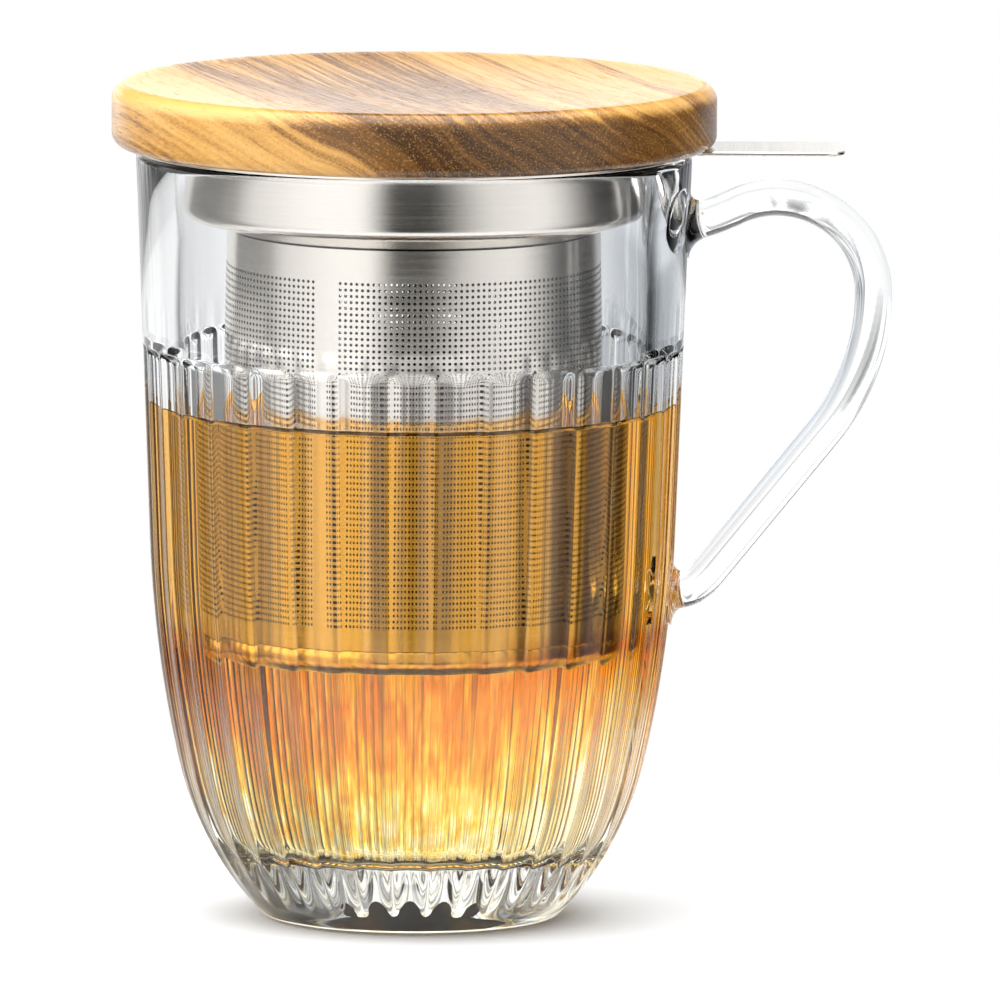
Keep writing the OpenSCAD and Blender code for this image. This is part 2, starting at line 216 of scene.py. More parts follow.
# ---------------------------------------------------------------- the glass
def hollow(across, past):
    """Depth of a flute at a distance across it and past its end.

    It is flute_depth less the sagitta of a circle of flute_r at a blunt distance, the fourth root
    of the sum of fourth powers, so that the top is square with rounded corners. The depth is
    softened where it leaves the wall.
    """
    half_width = math.sqrt(flute_r**2 - (flute_r - flute_depth) ** 2)
    blunt = (across**4 + (past * half_width / flute_nose) ** 4) ** 0.25
    depth = np.sqrt(np.maximum(flute_r**2 - blunt**2, 0)) - flute_r + flute_depth
    return (depth + np.sqrt(depth**2 + land_round**2)) / 2


def groove(radius, height, share):
    """Depth of the flutes at a share of the pitch from a groove's middle, between -0.5 and 0.5.

    The crest between two grooves stays at the plain wall and is rounded by crest_round. The
    grooves end in a blunt scoop at the top and run out above the foot.
    """
    pitch = 2 * np.pi * radius / flutes
    soft = crest_round / pitch
    edge = 0.5 - np.sqrt((0.5 - np.abs(share)) ** 2 + soft**2)
    past = np.maximum(height - flute_end, 0)
    crest = hollow(pitch * (0.5 - soft), past)
    fade = np.clip((height - flute_foot) / flute_fade, 0, 1)
    return (hollow(pitch * edge, past) - crest) * fade


def glass_outline():
    """Outside of the glass from the foot to the top of the rim: radius, height and lean.

    Its rows lie closest where the grooves end.
    """
    past_flutes = flute_top + 0.4
    side = np.concatenate(
        [
            np.linspace(side_z, flute_end, 10)[1:],
            np.linspace(flute_end, past_flutes, 15)[1:],
            np.linspace(past_flutes, lip_out[1], 6)[1:-1],
        ]
    )
    straight = np.column_stack([wall_at(side), side, np.full(len(side), side_lean)])
    return np.vstack(
        [
            arc(foot_c, foot_round, math.pi / 2, foot_lean, 6),
            arc(heel_c, heel_r, foot_lean, heel_lean, 26)[1:],
            arc(curve_c, side_curve_r, heel_lean, side_lean, 14)[1:],
            straight,
            arc(lip_out, lip_round, side_lean, -math.pi / 2, lip_steps),
        ]
    )


def glass_inside():
    """Inside of the glass from the top of the rim down to the flat of the floor."""
    up = np.vstack(
        [
            arc(corner_c, floor_round, math.pi / 2, corner_lean, 10),
            arc(heel_c, heel_r - wall, corner_lean, heel_lean, 10)[1:],
            arc(curve_c, side_curve_r - wall, heel_lean, side_lean, 8)[1:],
        ]
    )
    mouth = np.vstack(
        [
            np.column_stack([line(up[-1, :2], (throat_r, throat_z), 4), np.zeros(4)]),
            arc(lip_in, lip_round, math.pi, math.pi * 1.5, 6),
        ]
    )
    return np.vstack([up, mouth])[::-1]


def fluted_body():
    """The glass as one skin: outside up, rim, inside down. The grooves are cut square to the wall.

    The lip and the inside stay plain.
    """
    outside, inside = glass_outline(), glass_inside()
    columns = flutes * around_flute
    angle = -np.pi / 2 + np.arange(columns) * 2 * np.pi / columns
    share = (np.arange(columns) % around_flute) / around_flute
    share = np.where(share > 0.5, share - 1, share)[None, :]
    profile = np.vstack([outside, inside])
    radius, height, lean = (profile[:, k][:, None] for k in range(3))
    cut = groove(radius, height, share)
    cut[len(outside) - lip_steps - 1 :] = 0
    radius = radius - cut * np.cos(lean)
    height = height + cut * np.sin(lean)
    grid = np.stack([radius * np.cos(angle), radius * np.sin(angle), height], axis=-1)
    return skin("mug_glass", grid, "poles")


def handle_line():
    """Centre line of the strap from the leg's root round the loop to the top arm's root.

    Two straight runs and two arcs that meet tangentially. Each row holds x, z, the angle of the
    strap's thickness, half its thickness and width, and how far it has turned to the wall, 0 to 1.
    """
    mid_z = mug_h - handle_drop
    low_c, top_c = (handle_reach - loop_low_r, mid_z), (handle_reach - loop_top_r, mid_z)
    leg = (
        low_c[0] + loop_low_r * math.cos(leg_lean),
        low_c[1] - loop_low_r * math.sin(leg_lean),
    )
    arm = (
        top_c[0] - loop_top_r * math.sin(top_arm_fall),
        top_c[1] + loop_top_r * math.cos(top_arm_fall),
    )
    leg_dir = (-math.sin(leg_lean), -math.cos(leg_lean))
    arm_dir = (-math.cos(top_arm_fall), -math.sin(top_arm_fall))

    def run(point, way, lift):
        """Length from a point to the wall, which it meets higher by lift; three corrections."""
        length = 0.0
        for _ in range(3):
            length = (point[0] - float(wall_at(point[1] + length * way[1] + lift))) / -way[0]
        return length

    def root(point, way, lift, upright):
        """Rows from the wall to root_turn away from it.

        The line bends up by lift as it nears the wall, and the strap eases from square across it
        to upright.
        """
        length = run(point, way, lift)
        away = np.linspace(0, 1, 13) ** 1.6 * root_turn
        away = away[away <= length]
        turn = np.clip(away / root_turn, 0, 1)
        heading = np.arctan2(-way[1] - 2 * lift * (1 - turn) / root_turn, -way[0])
        tilt = upright + heading * turn
        flare = np.where(
            away > root_flare,
            0,
            root_flare - np.sqrt(np.maximum(root_flare**2 - (root_flare - away) ** 2, 0)),
        )
        x = point[0] + way[0] * (length - away)
        z = point[1] + way[1] * (length - away) + lift * (1 - turn) ** 2
        half_t = strap_t / 2 / np.cos(heading * (1 - turn)) + flare
        return np.column_stack([x, z, tilt, half_t, strap_w / 2 + flare, 1 - turn])

    def bend(centre, radius, start, end, steps):
        """Rows round one of the two arcs, square to the line."""
        angle = np.linspace(start, end, steps + 1)
        return np.column_stack(
            [
                centre[0] + radius * np.cos(angle),
                centre[1] + radius * np.sin(angle),
                angle,
                np.full(steps + 1, strap_t / 2),
                np.full(steps + 1, strap_w / 2),
                np.zeros(steps + 1),
            ]
        )

    return np.vstack(
        [
            root(leg, leg_dir, leg_lift, -math.pi / 2),
            bend(low_c, loop_low_r, -leg_lean, 0, 16),
            bend(top_c, loop_top_r, 0, math.pi / 2 + top_arm_fall, 30)[1:],
            root(arm, arm_dir, arm_lift, math.pi / 2)[::-1],
        ]
    )


def glass_strap(around=32):
    """The handle: an ellipse carried along its line, with its roots bent round the mug.

    Each root ends in a flat that lies strap_sink or more inside the wall.
    """
    rows = handle_line()
    angle = np.arange(around) * 2 * np.pi / around
    x, z, tilt, half_t, half_w, root = (rows[:, k][:, None] for k in range(6))
    across = half_w * np.sin(angle)
    outward = half_t * np.cos(angle)
    height = z + outward * np.sin(tilt)
    radius = wall_at(height)
    bent = (radius - np.sqrt(radius**2 - across**2)) * root
    grid = np.stack([x + outward * np.cos(tilt) - bent, across, height], axis=-1)
    half_root = strap_w / 2 + root_flare
    flats = []
    for end, level in ((0, grid[0, :, 2].min()), (-1, rows[-1, 1])):
        flat = grid[end].copy()
        flat[:, 0] = math.sqrt(float(wall_at(level)) ** 2 - half_root**2) - strap_sink
        flats.append(flat[None])
    return skin("strap", np.concatenate([flats[0], grid, flats[1]]), "poles")


def join_glass(body, strap):
    """One continuous glass: the strap is united with the body, and the union is kept.

    The union leaves an empty material slot, which would come before the glass, so it is cleared.
    """
    union = body.modifiers.new("union", "BOOLEAN")
    union.operation, union.object, union.solver = "UNION", strap, "MANIFOLD"
    evaluated = body.evaluated_get(bpy.context.evaluated_depsgraph_get())
    mesh = bpy.data.meshes.new_from_object(evaluated)
    mesh.materials.clear()
    body.modifiers.clear()
    body.data = mesh
    bpy.data.objects.remove(strap)
    mesh.shade_smooth()
    mesh.set_sharp_from_angle(angle=GLASS_SMOOTH)
    return body


def tea_profile():
    """The tea from the middle of the floor, up the wall and over its curved edge to the middle.

    Its side is the inside of the glass, moved out into the wall by tea_overlap. Its edge climbs
    the wall by meniscus_h, and falls away from it by a power of the distance.
    """
    inner = glass_inside()[::-1]
    well_below = tea_z - 6
    wet = inner[inner[:, 1] < well_below]
    side = np.column_stack(
        [
            wet[:, 0] + tea_overlap * np.cos(wet[:, 2]),
            wet[:, 1] - tea_overlap * np.sin(wet[:, 2]),
        ]
    )
    at_wall = float(wall_at(tea_z)) - wall / math.cos(side_lean)
    rise = at_wall + tea_overlap + meniscus_h * math.tan(side_lean)
    out = np.linspace(0, 1, 12) ** 1.5
    edge = np.column_stack(
        [rise - meniscus_w * out, tea_z + meniscus_h * (1 - out) ** 2.2]
    )
    return np.vstack([side, edge, [[at_wall * 0.9, tea_z], [at_wall * 0.5, tea_z]]])


# ---------------------------------------------------------------- the infuser
def collar_profile():
    """Section of the collar: flange, upright wall, rounded bend, sloping shoulder and neck."""
    nose = sheet * 0.4
    cos_s, tan_s = math.cos(shoulder_slope), math.tan(shoulder_slope)
    under = arc((flange_r - nose, mug_h + nose), nose, 0, math.pi / 2, 4)
    over = arc((flange_r - nose, lid_z - nose), nose, -math.pi / 2, 0, 4)
    turn = np.linspace(0, math.pi / 2, 11)
    top_out = np.column_stack(
        [
            top_bend_c[0] - collar_bend * np.sin(turn),
            top_bend_c[1] + collar_bend * np.cos(turn),
        ]
    )
    thick = collar_bend + sheet
    top_in = np.column_stack(
        [top_bend_c[0] - thick * np.sin(turn), top_bend_c[1] + thick * np.cos(turn)]
    )[::-1]
    neck_z = shoulder_out[1] - (shoulder_out[0] - neck_r) * tan_s + sheet / cos_s
    loop = np.vstack(
        [
            under[:, :2],
            top_out,
            line(top_out[-1], (collar_r, bend_c[1]), 3)[:-1],
            arc(bend_c, collar_bend, 0, shoulder_lean, 12)[:, :2],
            line(shoulder_out, (tube_in_r, tube_top_z), 4),
            line((tube_in_r, tube_top_z), (tube_in_r, tube_top_z - lip_len), 2),
            line((tube_in_r, tube_top_z - lip_len), (neck_r, tube_top_z - lip_len), 1),
            line((neck_r, tube_top_z - lip_len), (neck_r, neck_z), 2),
            arc(bend_c, collar_bend - sheet, shoulder_lean, 0, 12)[:, :2],
            line((collar_r - sheet, bend_c[1]), top_in[0], 3)[:-1],
            top_in,
            over[:, :2],
        ]
    )
    return loop[::-1]


def tidy_loop(profile):
    """A closed profile without points that repeat their neighbour."""
    gap = np.hypot(*(profile - np.roll(profile, 1, axis=0)).T)
    return profile[gap > 1e-4]


def fine_panel(name, start):
    """A third of the perforated tube: cells round it and up it, each with an eight-sided hole.

    A cell's corners lie on a grid of angle and height, with plain cells outside the holes' field.
    A hole's corners lie round its cell's middle at odd multiples of 22.5 degrees, so that its
    sides face the cell's sides and corners. Four quads and four triangles fill a cell round its
    hole. Both faces of the sheet, the walls of the holes and the sheet's edge are one closed mesh.
    """
    low_margin = 0.3
    strip = strip_w / tube_r
    span = 2 * np.pi / panels
    column_turn = (span - strip) / fine_columns
    angle = np.concatenate(
        [
            start + np.array([0, 0.25]) * strip,
            start + strip / 2 + np.arange(fine_columns + 1) * column_turn,
            start + span - np.array([0.25, 0]) * strip,
        ]
    )
    low = fine_low - fine_step / 2
    high = low + fine_rows * fine_step
    height = np.concatenate(
        [
            [tube_low_z, tube_low_z + low_margin],
            low + np.arange(fine_rows + 1) * fine_step,
            [(high + tube_top_z) / 2, tube_top_z],
        ]
    )
    columns, rows = len(angle), len(height)
    corner = np.arange(rows * columns).reshape(rows, columns)

    def on_tube(radius, a, z):
        """Points at angles and heights on a tube."""
        return np.stack([radius * np.cos(a), radius * np.sin(a), z + 0 * a], axis=-1)

    grid_a, grid_z = np.meshgrid(angle, height)
    octagon = np.radians(22.5 + 45 * np.arange(8))
    hole_a = angle[2:-3, None] + column_turn / 2
    mid_z = height[2:-3, None] + fine_step / 2
    hole_a = (hole_a + fine_d / 2 * np.cos(octagon) / tube_r)[None, :, :]
    hole_z = (mid_z + fine_d / 2 * np.sin(octagon))[:, None, :]
    hole_a, hole_z = np.broadcast_arrays(hole_a, hole_z)
    count = columns * rows
    hole = count + np.arange(hole_a.size).reshape(hole_a.shape)
    side = count + hole_a.size
    points = np.vstack(
        [
            part.reshape(-1, 3)
            for radius in (tube_r, tube_in_r)
            for part in (on_tube(radius, grid_a, grid_z), on_tube(radius, hole_a, hole_z))
        ]
    )
    south_west, south_east = corner[2:-3, 2:-3], corner[2:-3, 3:-2]
    north_west, north_east = corner[3:-2, 2:-3], corner[3:-2, 3:-2]
    around = [hole[..., k] for k in range(8)]
    fills = [
        (south_east, north_east, around[0], around[7]),
        (north_east, north_west, around[2], around[1]),
        (north_west, south_west, around[4], around[3]),
        (south_west, south_east, around[6], around[5]),
    ]
    tips = [
        (north_east, around[1], around[0]),
        (north_west, around[3], around[2]),
        (south_west, around[5], around[4]),
        (south_east, around[7], around[6]),
    ]
    plain = np.ones((rows - 1, columns - 1), bool)
    plain[2 : 2 + fine_rows, 2 : 2 + fine_columns] = False
    r, c = np.nonzero(plain)
    flat = np.stack([corner[r, c], corner[r, c + 1], corner[r + 1, c + 1], corner[r + 1, c]], -1)
    quads = np.vstack([flat] + [np.stack(q, -1).reshape(-1, 4) for q in fills])
    tris = np.vstack([np.stack(t, -1).reshape(-1, 3) for t in tips])
    walls = np.vstack(
        [
            np.stack([this, following, following + side, this + side], -1).reshape(-1, 4)
            for this, following in zip(around, around[1:] + around[:1])
        ]
    )
    rim = np.concatenate(
        [corner[0, :], corner[1:, -1], corner[-1, -2::-1], corner[-2:0:-1, 0]]
    )
    after = np.roll(rim, -1)
    edge = np.stack([after, rim, rim + side, after + side], -1)
    quads = np.vstack([quads, quads[:, ::-1] + side, walls, edge])
    tris = np.vstack([tris, tris[:, ::-1] + side])
    corners = np.concatenate([quads.ravel(), tris.ravel()])
    sizes = np.concatenate([np.full(len(quads), 4), np.full(len(tris), 3)])
    return new_object(name, points, corners, sizes)


def cap_profile():
    """Section of the base cap: flat bottom, rounded edge flush with the tube, a seam and a lip."""
    seam_low, seam_high = tube_low_z - 2 * cap_seam, tube_low_z - cap_seam / 2
    outer_c = (tube_r - cap_round, cap_low_z + cap_round)
    inner_c = (neck_r - cap_round + sheet, outer_c[1])
    return np.vstack(
        [
            [[cap_hub, cap_low_z]],
            arc(outer_c, cap_round, math.pi / 2, 0, 12)[:, :2],
            [[tube_r, seam_low], [tube_r - cap_seam, seam_high]],
            [[tube_in_r, seam_high], [tube_in_r, tube_low_z + lip_len]],
            [[neck_r, tube_low_z + lip_len]],
            arc(inner_c, cap_round - sheet, 0, math.pi / 2, 10)[:, :2],
            [[cap_hub, cap_low_z + sheet]],
        ]
    )


def tab_plate(points_round=200):
    """The lifting tab: a rounded outline whose root follows the flange's edge, in four rows.

    The outline goes round the plate's middle by angle. The middle two rows carry the full outline
    and the outer two lie in from it by tab_edge, so that both rims are eased.
    """
    middle = (flange_r + tab_reach) / 2
    turn = np.linspace(0, 2 * np.pi, points_round, endpoint=False)
    half_x, half_y = tab_reach - middle, tab_w / 2

    def outline(inset, height):
        """A ray's reach to the box or, past a corner's centre, to the corner's circle."""
        x, y = np.cos(turn), np.sin(turn)
        box_x, box_y = half_x - inset, half_y - inset
        corner = tab_round - inset
        tiny = 1e-9
        to_sides = box_x / np.maximum(np.abs(x), tiny), box_y / np.maximum(np.abs(y), tiny)
        to_box = np.minimum(*to_sides)
        corner_x, corner_y = box_x - corner, box_y - corner
        in_corner = (x * to_box > corner_x) & (np.abs(y * to_box) > corner_y)
        along = x * corner_x + np.abs(y) * corner_y
        past = np.maximum(along**2 - (corner_x**2 + corner_y**2 - corner**2), 0)
        reach = np.where(in_corner, along + np.sqrt(past), to_box)
        root = np.sqrt(np.maximum((flange_r + tab_gap) ** 2 - (y * reach) ** 2, 0)) + inset
        level = np.full(points_round, mug_h + height)
        return np.stack([np.maximum(x * reach + middle, root), y * reach, level], -1)

    low, high = outline(0, tab_edge), outline(0, sheet - tab_edge)
    rows = [outline(tab_edge, 0), low, high, outline(tab_edge, sheet)]
    return skin("infuser_tab_plate", np.stack(rows), "poles")


# ---------------------------------------------------------------- the lid
def lid_profile():
    """Section of the lid: plug with the seal's groove, rounded disc and dished top."""
    plug_edge_c = (plug_r - plug_ease, plug_low + plug_ease)
    low_edge_c = (lid_r - lid_low_round, lid_z + lid_low_round)
    top_edge_c = (lid_r - lid_top_round, lid_top - lid_top_round)
    dish = np.linspace(1, 0.04, 20) * dish_r
    dish_z = lid_top - dish_depth + dish_sphere - np.sqrt(dish_sphere**2 - dish**2)
    return np.vstack(
        [
            [[plug_hub, plug_low]],
            arc(plug_edge_c, plug_ease, math.pi / 2, 0, 4)[:, :2],
            [[plug_r, seal_z], [groove_r, seal_z]],
            [[groove_r, seal_z + seal_h], [plug_r, seal_z + seal_h], [plug_r, lid_z]],
            arc(low_edge_c, lid_low_round, math.pi / 2, 0, 10)[:, :2],
            arc(top_edge_c, lid_top_round, 0, -math.pi / 2, 12)[:, :2],
            np.column_stack([dish, dish_z]),
        ]
    )


def seal_profile():
    """Section of the seal: a band in the groove and two soft fins with rounded tips."""
    half = seal_fin / 2
    tip = np.linspace(-math.pi / 2, math.pi / 2, 7)

    def fin(low):
        """A fin's rounded tip, which leans up by fin_lean."""
        middle = low + half + fin_lean
        return np.column_stack(
            [seal_r - half + half * np.cos(tip), middle + half * np.sin(tip)]
        )

    return np.vstack(
        [
            [[groove_r, seal_z], [plug_r, seal_z]],
            fin(seal_z),
            [[plug_r, seal_z + seal_fin], [plug_r, seal_z + seal_h - seal_fin]],
            fin(seal_z + seal_h - seal_fin),
            [[plug_r, seal_z + seal_h], [groove_r, seal_z + seal_h]],
        ]
    )


# ---------------------------------------------------------------- shaders
class Wire:
    """An output of a node. Arithmetic on it adds Math nodes to its tree."""

    def __init__(self, tree, socket):
        self.tree, self.socket = tree, socket

    def _math(self, operation, *values):
        inputs = dict(enumerate(values))
        return self.tree.node("ShaderNodeMath", {"operation": operation}, inputs)

    def __add__(self, other):
        return self._math("ADD", self, other)

    def __sub__(self, other):
        return self._math("SUBTRACT", self, other)

    def __mul__(self, other):
        return self._math("MULTIPLY", self, other)

    def __truediv__(self, other):
        return self._math("DIVIDE", self, other)

    def __rsub__(self, other):
        return self._math("SUBTRACT", other, self)

    __radd__, __rmul__ = __add__, __mul__

    def __neg__(self):
        return self * -1

    def __abs__(self):
        return self._math("ABSOLUTE", self)

    def fn(self, operation, *others):
        """Any other Math operation on this value."""
        return self._math(operation, self, *others)

    def ramp(self, low, high, to_low=0.0, to_high=1.0):
        """Eases from to_low to to_high while this value goes from low to high."""
        return self.tree.node(
            "ShaderNodeMapRange",
            {"interpolation_type": "SMOOTHSTEP"},
            {"Value": self, "From Min": low, "From Max": high, "To Min": to_low, "To Max": to_high},
        )


class Tree:
    """A material's or the world's node tree."""

    def __init__(self, tree):
        self.tree = tree
        tree.nodes.clear()

    def node(self, kind, settings=None, inputs=None, output=0):
        """Adds a node. Its settings come first, then its inputs, by name or number."""
        node = self.tree.nodes.new(kind)
        for name, value in (settings or {}).items():
            if name == "stops":
                stops = node.color_ramp.elements
                while len(stops) < len(value):
                    stops.new(0.5)
                for stop, (place, colour) in zip(stops, value):
                    stop.position, stop.color = place, (*colour, 1)
            else:
                setattr(node, name, value)
        for name, value in (inputs or {}).items():
            if isinstance(value, Wire):
                self.tree.links.new(value.socket, node.inputs[name])
            elif isinstance(value, (tuple, list)) and node.inputs[name].type == "RGBA":
                node.inputs[name].default_value = (*value[:3], 1)
            else:
                node.inputs[name].default_value = value
        return Wire(self, node.outputs[output])

    def parts(self, vector):
        """The three numbers of a vector."""
        first = self.node("ShaderNodeSeparateXYZ", {}, {0: vector})
        return [Wire(self, s) for s in first.socket.node.outputs]

    def point(self, x, y, z):
        """A vector of three numbers."""
        return self.node("ShaderNodeCombineXYZ", {}, {0: x, 1: y, 2: z})

    def mix(self, share, first, second):
        """Colours first to second by share."""
        return self.node(
            "ShaderNodeMix",
            {"data_type": "RGBA"},
            {0: share, 6: first, 7: second},
            output=2,
        )

    def noise(self, vector, scale, detail=2.0, rough=0.5):
        """Noise from 0 to 1 at a number of cycles for each unit of the vector."""
        return self.node(
            "ShaderNodeTexNoise",
            {},
            {"Vector": vector, "Scale": scale, "Detail": detail, "Roughness": rough},
        )

    def place(self):
        """The point on the piece, in mm."""
        metres = self.node("ShaderNodeTexCoord", output="Object")
        return self.node("ShaderNodeVectorMath", {"operation": "SCALE"}, {0: metres, "Scale": 1000})

    def along(self, vector, axis):
        """Distance along an axis."""
        return self.node(
            "ShaderNodeVectorMath", {"operation": "DOT_PRODUCT"}, {0: vector, 1: axis}, output=1
        )

    def bump(self, height, depth_mm):
        """A normal for a height from 0 to 1 that stands for depth_mm."""
        return self.node("ShaderNodeBump", {}, {"Height": height, "Distance": depth_mm * MM})

    def ray(self, kind):
        """1 on rays of a kind and 0 on others."""
        return self.node("ShaderNodeLightPath", output=f"Is {kind} Ray")

    def finish(self, kind, **shaders):
        """Puts shaders on an output node of a kind, by the names of its sockets."""
        out = self.tree.nodes.new(kind)
        for name, shader in shaders.items():
            self.tree.links.new(shader.socket, out.inputs[name])


def material(name):
    """A new material and its empty tree."""
    made = bpy.data.materials.new(name)
    made.use_nodes = True
    return made, Tree(made.node_tree)


def principled(tree, **inputs):
    """A Principled shader; an underscore in a name stands for a space."""
    named = {key.replace("_", " "): value for key, value in inputs.items()}
    return tree.node("ShaderNodeBsdfPrincipled", {}, named)


# ---------------------------------------------------------------- the finishes
def clear_glass():
    """Fire-polished pressed glass with a trace of blue."""
    made, tree = material("clear_glass")
    surface = principled(
        tree,
        Base_Color=(0.985, 0.993, 1.0),
        Roughness=0.0,
        IOR=1.5,
        Specular_IOR_Level=0.4,
        Transmission_Weight=1.0,
    )
    tree.finish("ShaderNodeOutputMaterial", Surface=surface)
    return made


def brewed_tea():
    """Clear amber tea, with painted light pale at the bottom and painted shade deepest below the
    infuser.

    Its surface tints by height, which paints light and shade over its own amber, with slow upright
    clouds, and painted light pales it sooner at both sides. With
    each millimetre it also takes a part of the blue and a little green.
    """
    made, tree = material("brewed_tea")
    x, y, height = tree.parts(tree.place())
    swirl = tree.noise(tree.point(x * 0.6, y * 0.6, height * 0.012), 1.0, 2.0, 0.6) - 0.5
    # Painted light: the tea is made paler towards both sides, most at the right.
    painted_light_at_sides = x.ramp(6, 28) * 15 + x.ramp(-18, -32) * 6
    low_in_tea, top_of_stops = height.ramp(50, 40), 100
    # The stops paint light and shade by height: nearly white at the bottom, deepest just below the
    # infuser.
    tint_and_painted_light = tree.node(
        "ShaderNodeValToRGB",
        {
            "stops": [
                (0.11, (1, 1, 0.95)),
                (0.17, (1, 0.80, 0.28)),
                (0.23, (1, 0.54, 0.06)),
                (0.29, (0.88, 0.30, 0.008)),
                (0.37, (0.66, 0.19, 0.003)),
                (0.46, (1, 0.54, 0.09)),
            ]
        },
        {0: (height + (swirl * 52 - painted_light_at_sides) * low_in_tea) / top_of_stops},
    )
    surface = principled(
        tree,
        Base_Color=tint_and_painted_light,
        Roughness=0.0,
        IOR=1.33,
        Transmission_Weight=1.0,
        Specular_IOR_Level=0.1,
    )
    taken = (0.0005, 0.0036, 0.0155)
    density = max(taken)
    passed = tuple(1 - t / density for t in taken)
    volume = tree.node(
        "ShaderNodeVolumeAbsorption", {}, {"Color": passed, "Density": density / MM}
    )
    tree.finish("ShaderNodeOutputMaterial", Surface=surface, Volume=volume)
    return made


def spun_steel(name, shade=(0.83, 0.785, 0.72), roughness=0.16, inside=0.0):
    """Spun sheet: fine rings round the axis vary its colour, roughness and relief.

    It is rougher below the tea's surface. The argument inside is a radius: nearer to the axis
    the steel is darkened with painted shade, as in holes and behind them, tinted amber in the tea.
    """
    made, tree = material(name)
    x, y, z = tree.parts(tree.place())
    radius = (x * x + y * y).fn("SQRT")
    turn = y.fn("ARCTAN2", x)
    rings = tree.noise(tree.point(radius * 7.0, turn * 1.6, z * 7.0), 1.0, 2.0, 0.6)
    broad = tree.noise(tree.point(radius * 0.7, turn * 2.0, z * 0.7), 1.0, 2.0)
    under_tea = z.ramp(tea_z + 1, tea_z)
    colour = tree.mix(rings.ramp(0.3, 0.7), [s * 0.97 for s in shade], shade)
    if inside:
        # Painted shade: the hole walls and the tube's inner face are darkened, amber below the tea.
        painted_shade = tree.mix(under_tea, [s * 0.18 for s in shade], (0.14, 0.055, 0.01))
        colour = tree.mix(radius.ramp(inside - 0.04, inside), painted_shade, colour)
    surface = principled(
        tree,
        Base_Color=colour,
        Metallic=1.0,
        Roughness=rings.ramp(0.2, 0.8, roughness - 0.03, roughness + 0.04)
        + (broad - 0.5) * 0.06
        + under_tea * 0.05,
        Normal=tree.bump(rings, 0.0012),
    )
    tree.finish("ShaderNodeOutputMaterial", Surface=surface)
    return made


def oiled_wood():
    """Warm brown wood. Growth layers are slanting planes; the fibres lie in them, near level.

    The layers' distance along their normal, bent a little by broad noise, gives pale and dark
    bands and fine lines. Noise drawn out along the fibres gives streaks, pores and flecks. The
    layers in the middle of the disc are dark, and its top is made paler than its side with painted
    light.
    """
    made, tree = material("oiled_wood")
    place = tree.place()
    across = Vector((0.56, 0.19, 0.806)).normalized()
    fibre = Vector((-0.19, 0.56, 0)).normalized()
    third = across.cross(fibre)
    layer = tree.along(place, across) - lid_top * across.z
    length = tree.along(place, fibre)
    side = tree.along(place, third)
    wander = tree.noise(tree.point(layer * 0.02, length * 0.006, side * 0.03), 1.0, 2.0) - 0.5
    depth = layer + wander * 12
    bands = tree.noise(tree.point(depth * 0.16, length * 0.004, side * 0.01), 1.0, 3.0, 0.55)
    lines = tree.noise(tree.point(depth * 1.3, length * 0.01, side * 0.05), 1.0, 2.0, 0.6)
    streaks = tree.noise(tree.point(depth * 3.0, length * 0.05, side * 3.0), 1.0, 3.0, 0.6)
    pores = tree.noise(tree.point(depth * 6.0, length * 0.12, side * 6.0), 1.0, 1.0)
    flecks = tree.noise(tree.point(depth * 3.4, length * 0.6, side * 3.4), 1.0, 2.0, 0.6)
    shade = bands * 0.36 + lines * 0.42 + streaks * 0.22
    _, _, height = tree.parts(place)
    # Painted light: the top of the disc is made paler than its side, as if lit from above.
    painted_top_light = height.ramp(lid_top - 2.6, lid_top - 0.6)
    dark_band_less_painted_light = depth.ramp(-26, -12) * 0.26 - 0.05 - depth.ramp(-1, 15) * 0.15 - painted_top_light * 0.16
    honey, tan = (0.80, 0.45, 0.13), (0.62, 0.32, 0.08)
    umber, char = (0.22, 0.095, 0.022), (0.06, 0.024, 0.006)
    golden, pore_brown = (0.78, 0.45, 0.13), (0.10, 0.045, 0.016)
    tone = tree.node(
        "ShaderNodeValToRGB",
        {"stops": [(0.34, honey), (0.46, tan), (0.58, umber), (0.76, char)]},
        {0: shade + dark_band_less_painted_light},
    )
    tone = tree.mix(flecks.ramp(0.54, 0.68) * 0.32, tone, golden)
    pore = pores.ramp(0.66, 0.74)
    surface = principled(
        tree,
        Base_Color=tree.mix(pore * 0.6, tone, pore_brown),
        Roughness=streaks.ramp(0.3, 0.7, 0.15, 0.24) + pore * 0.2,
        Normal=tree.bump(streaks * 0.6 - pore * 0.5, 0.05),
        IOR=1.47,
    )
    tree.finish("ShaderNodeOutputMaterial", Surface=surface)
    return made


def soft_silicone():
    """Translucent white silicone."""
    made, tree = material("soft_silicone")
    cloud = tree.noise(tree.place(), 0.4, 2.0)
    surface = principled(
        tree,
        Base_Color=tree.mix(cloud, (0.82, 0.82, 0.80), (0.88, 0.88, 0.86)),
        Roughness=cloud.ramp(0.3, 0.7, 0.38, 0.5),
        Subsurface_Weight=0.3,
        Subsurface_Scale=0.002,
    )
    tree.finish("ShaderNodeOutputMaterial", Surface=surface)
    return made


# ---------------------------------------------------------------- the studio
def pale_floor(lit=0.97, fade_from=95, fade_to=190):
    """Matt pale floor. Seen directly or through glass it is topped up a little; its shadow stays.

    It fades out round the mug, where the studio's white takes over.
    """
    made, tree = material("pale_floor")
    seen = tree.ray("Camera")
    for kind in ("Glossy", "Transmission"):
        seen = seen.fn("MAXIMUM", tree.ray(kind))
    matt = tree.node("ShaderNodeBsdfDiffuse", {}, {"Color": (0.80, 0.80, 0.80)})
    glow = tree.node("ShaderNodeEmission", {}, {"Strength": seen * (1 - lit)})
    both = tree.node("ShaderNodeAddShader", {}, {0: matt, 1: glow})
    x, y, _ = tree.parts(tree.place())
    away = (x * x + y * y).fn("SQRT")
    gone = tree.node("ShaderNodeBsdfTransparent")
    surface = tree.node(
        "ShaderNodeMixShader", {}, {0: away.ramp(fade_from, fade_to), 1: both, 2: gone}
    )
    tree.finish("ShaderNodeOutputMaterial", Surface=surface)
    return made


